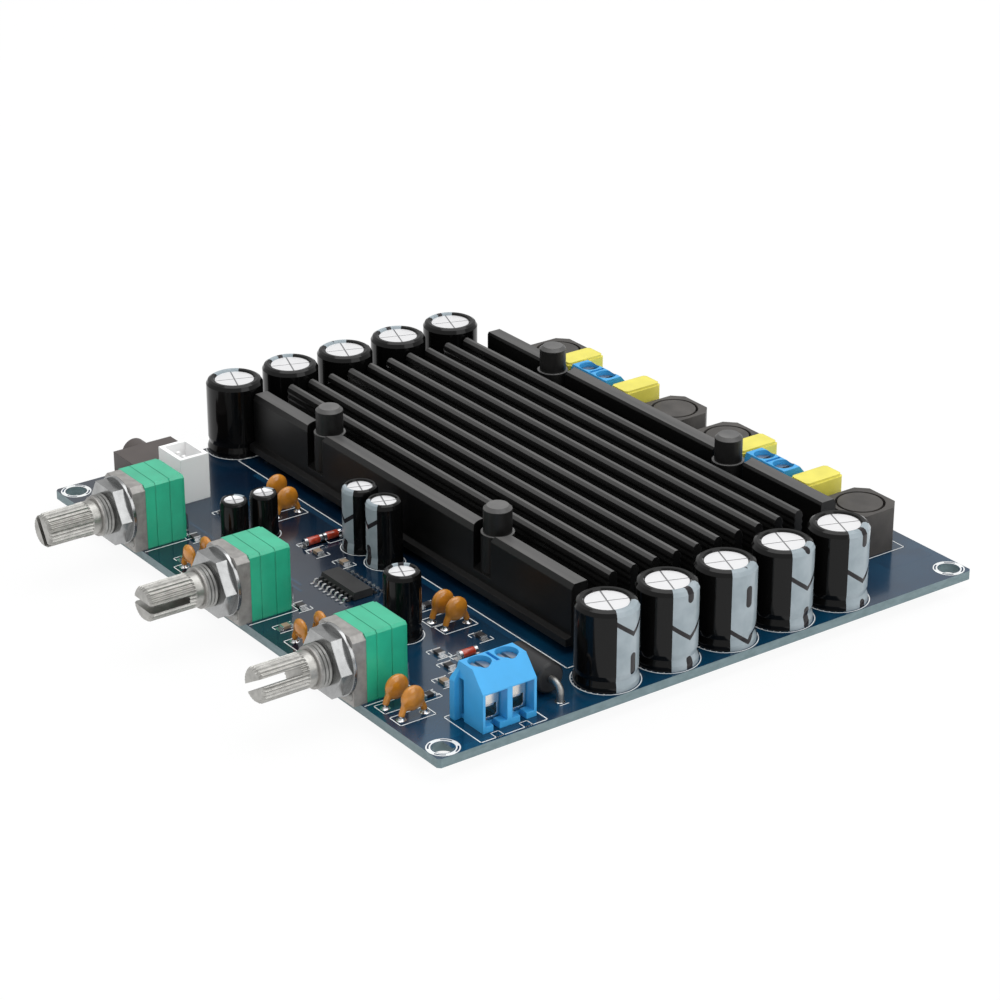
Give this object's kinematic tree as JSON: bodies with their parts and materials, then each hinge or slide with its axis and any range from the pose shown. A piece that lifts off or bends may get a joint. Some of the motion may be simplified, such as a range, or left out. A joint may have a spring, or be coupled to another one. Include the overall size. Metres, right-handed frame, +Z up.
{
  "type": "audio amplifier board",
  "caption": "Populated audio amplifier circuit board with a finned heatsink, potentiometers, screw terminals, electrolytic capacitors and output filter parts.",
  "frame": {"origin": "centre of the four corner mounting holes, on the board's lower face", "axes": "+X along the potentiometer edge towards the supply terminal, +Y towards the speaker-terminal edge, +Z up from the board"},
  "size_m": [0.1223, 0.1263, 0.0201],
  "materials": {
    "board_laminate": "blue solder mask, glossy",
    "black_anodised": "black anodised extrusion",
    "black_post": "black satin",
    "steel": "zinc plated",
    "chip_epoxy": "matt moulded epoxy",
    "thermal_pad": "soft gap filler",
    "capacitor_sleeve": "glossy shrink sleeve",
    "film_box": "satin moulded box",
    "ferrite": "matt ferrite",
    "terminal_housing": "satin moulded nylon",
    "tinned_brass": "tin plated",
    "pot_diecast": "matt die-casting",
    "pot_housing": "moulded resin",
    "pot_shaft_alloy": "machined",
    "plated_steel": "nickel plated",
    "jack_housing": "moulded",
    "connector_housing": "natural nylon",
    "diode_epoxy": "moulded epoxy",
    "disc_coating": "dipped lacquer",
    "chip_part_body": "fired ceramic"
  },
  "bodies": {
    "board": {"circuit_board": "board_laminate", "heatsink": "black_anodised", "heatsink_posts": "black_post", "heatsink_screws": "steel", "integrated_circuits": "chip_epoxy", "thermal_pads": "thermal_pad", "main_capacitor_01": "capacitor_sleeve", "main_capacitor_02": "capacitor_sleeve", "main_capacitor_03": "capacitor_sleeve", "main_capacitor_04": "capacitor_sleeve", "main_capacitor_05": "capacitor_sleeve", "main_capacitor_06": "capacitor_sleeve", "main_capacitor_07": "capacitor_sleeve", "main_capacitor_08": "capacitor_sleeve", "main_capacitor_09": "capacitor_sleeve", "main_capacitor_10": "capacitor_sleeve", "preamp_capacitor_1": "capacitor_sleeve", "preamp_capacitor_2": "capacitor_sleeve", "preamp_capacitor_3": "capacitor_sleeve", "bypass_capacitors": "capacitor_sleeve", "film_capacitor_1": "film_box", "film_capacitor_2": "film_box", "film_capacitor_3": "film_box", "film_capacitor_4": "film_box", "inductor_1": "ferrite", "inductor_2": "ferrite", "inductor_3": "ferrite", "inductor_4": "ferrite", "power_terminal": "terminal_housing", "speaker_terminal_1": "terminal_housing", "speaker_terminal_2": "terminal_housing", "terminal_tabs": "tinned_brass", "pot_frame_1": "pot_diecast", "pot_frame_2": "pot_diecast", "pot_frame_3": "pot_diecast", "pot_rear_1": "pot_housing", "pot_rear_2": "pot_housing", "pot_rear_3": "pot_housing", "pot_washers": "plated_steel", "pot_nuts": "plated_steel", "audio_jack": "jack_housing", "signal_connector": "connector_housing", "rectifier_diode": "diode_epoxy", "ceramic_capacitors": "disc_coating", "surface_mount_parts": "chip_part_body"},
    "turning_shaft_1": {"pot_shaft_1": "pot_shaft_alloy"},
    "turning_shaft_2": {"pot_shaft_2": "pot_shaft_alloy"},
    "turning_shaft_3": {"pot_shaft_3": "pot_shaft_alloy"},
    "clamp_screw_1": {"terminal_screw_1": "steel"},
    "clamp_screw_2": {"terminal_screw_2": "steel"},
    "clamp_screw_3": {"terminal_screw_3": "steel"},
    "clamp_screw_4": {"terminal_screw_4": "steel"},
    "clamp_screw_5": {"terminal_screw_5": "steel"},
    "clamp_screw_6": {"terminal_screw_6": "steel"},
    "clamp_cage_1": {"terminal_cage_1": "plated_steel"},
    "clamp_cage_2": {"terminal_cage_2": "plated_steel"},
    "clamp_cage_3": {"terminal_cage_3": "plated_steel"},
    "clamp_cage_4": {"terminal_cage_4": "plated_steel"},
    "clamp_cage_5": {"terminal_cage_5": "plated_steel"},
    "clamp_cage_6": {"terminal_cage_6": "plated_steel"}
  },
  "joints": [
    {"name": "shaft_1_turn", "type": "hinge", "parent": "board", "child": "turning_shaft_1", "pos_m": [-0.0336, -0.0563, 0.0081], "axis": [0, -1, 0], "range_deg": [-150, 150]},
    {"name": "shaft_2_turn", "type": "hinge", "parent": "board", "child": "turning_shaft_2", "pos_m": [0.0003, -0.0563, 0.0081], "axis": [0, -1, 0], "range_deg": [-150, 150]},
    {"name": "shaft_3_turn", "type": "hinge", "parent": "board", "child": "turning_shaft_3", "pos_m": [0.0342, -0.0563, 0.0081], "axis": [0, -1, 0], "range_deg": [-150, 150]},
    {"name": "clamp_screw_1_turn", "type": "hinge", "parent": "board", "child": "clamp_screw_1", "pos_m": [0.0532, -0.04254, 0.0099], "axis": [0, 0, -1], "range_deg": [0, 1080]},
    {"name": "clamp_cage_1_rise", "type": "slide", "parent": "board", "child": "clamp_cage_1", "axis": [0, 0, 1], "range_m": [0, 0.0015]},
    {"name": "clamp_screw_2_turn", "type": "hinge", "parent": "board", "child": "clamp_screw_2", "pos_m": [0.0532, -0.03746, 0.0099], "axis": [0, 0, -1], "range_deg": [0, 1080]},
    {"name": "clamp_cage_2_rise", "type": "slide", "parent": "board", "child": "clamp_cage_2", "axis": [0, 0, 1], "range_m": [0, 0.0015]},
    {"name": "clamp_screw_3_turn", "type": "hinge", "parent": "board", "child": "clamp_screw_3", "pos_m": [-0.02586, 0.043, 0.0099], "axis": [0, 0, -1], "range_deg": [0, 1080]},
    {"name": "clamp_cage_3_rise", "type": "slide", "parent": "board", "child": "clamp_cage_3", "axis": [0, 0, 1], "range_m": [0, 0.0015]},
    {"name": "clamp_screw_4_turn", "type": "hinge", "parent": "board", "child": "clamp_screw_4", "pos_m": [-0.03094, 0.043, 0.0099], "axis": [0, 0, -1], "range_deg": [0, 1080]},
    {"name": "clamp_cage_4_rise", "type": "slide", "parent": "board", "child": "clamp_cage_4", "axis": [0, 0, 1], "range_m": [0, 0.0015]},
    {"name": "clamp_screw_5_turn", "type": "hinge", "parent": "board", "child": "clamp_screw_5", "pos_m": [0.02464, 0.043, 0.0099], "axis": [0, 0, -1], "range_deg": [0, 1080]},
    {"name": "clamp_cage_5_rise", "type": "slide", "parent": "board", "child": "clamp_cage_5", "axis": [0, 0, 1], "range_m": [0, 0.0015]},
    {"name": "clamp_screw_6_turn", "type": "hinge", "parent": "board", "child": "clamp_screw_6", "pos_m": [0.01956, 0.043, 0.0099], "axis": [0, 0, -1], "range_deg": [0, 1080]},
    {"name": "clamp_cage_6_rise", "type": "slide", "parent": "board", "child": "clamp_cage_6", "axis": [0, 0, 1], "range_m": [0, 0.0015]}
  ],
  "couplings": [
    {"joint": "clamp_screw_1_turn", "follows": "clamp_cage_1_rise", "rad_per_m": 12566},
    {"joint": "clamp_screw_2_turn", "follows": "clamp_cage_2_rise", "rad_per_m": 12566},
    {"joint": "clamp_screw_3_turn", "follows": "clamp_cage_3_rise", "rad_per_m": 12566},
    {"joint": "clamp_screw_4_turn", "follows": "clamp_cage_4_rise", "rad_per_m": 12566},
    {"joint": "clamp_screw_5_turn", "follows": "clamp_cage_5_rise", "rad_per_m": 12566},
    {"joint": "clamp_screw_6_turn", "follows": "clamp_cage_6_rise", "rad_per_m": 12566}
  ]
}
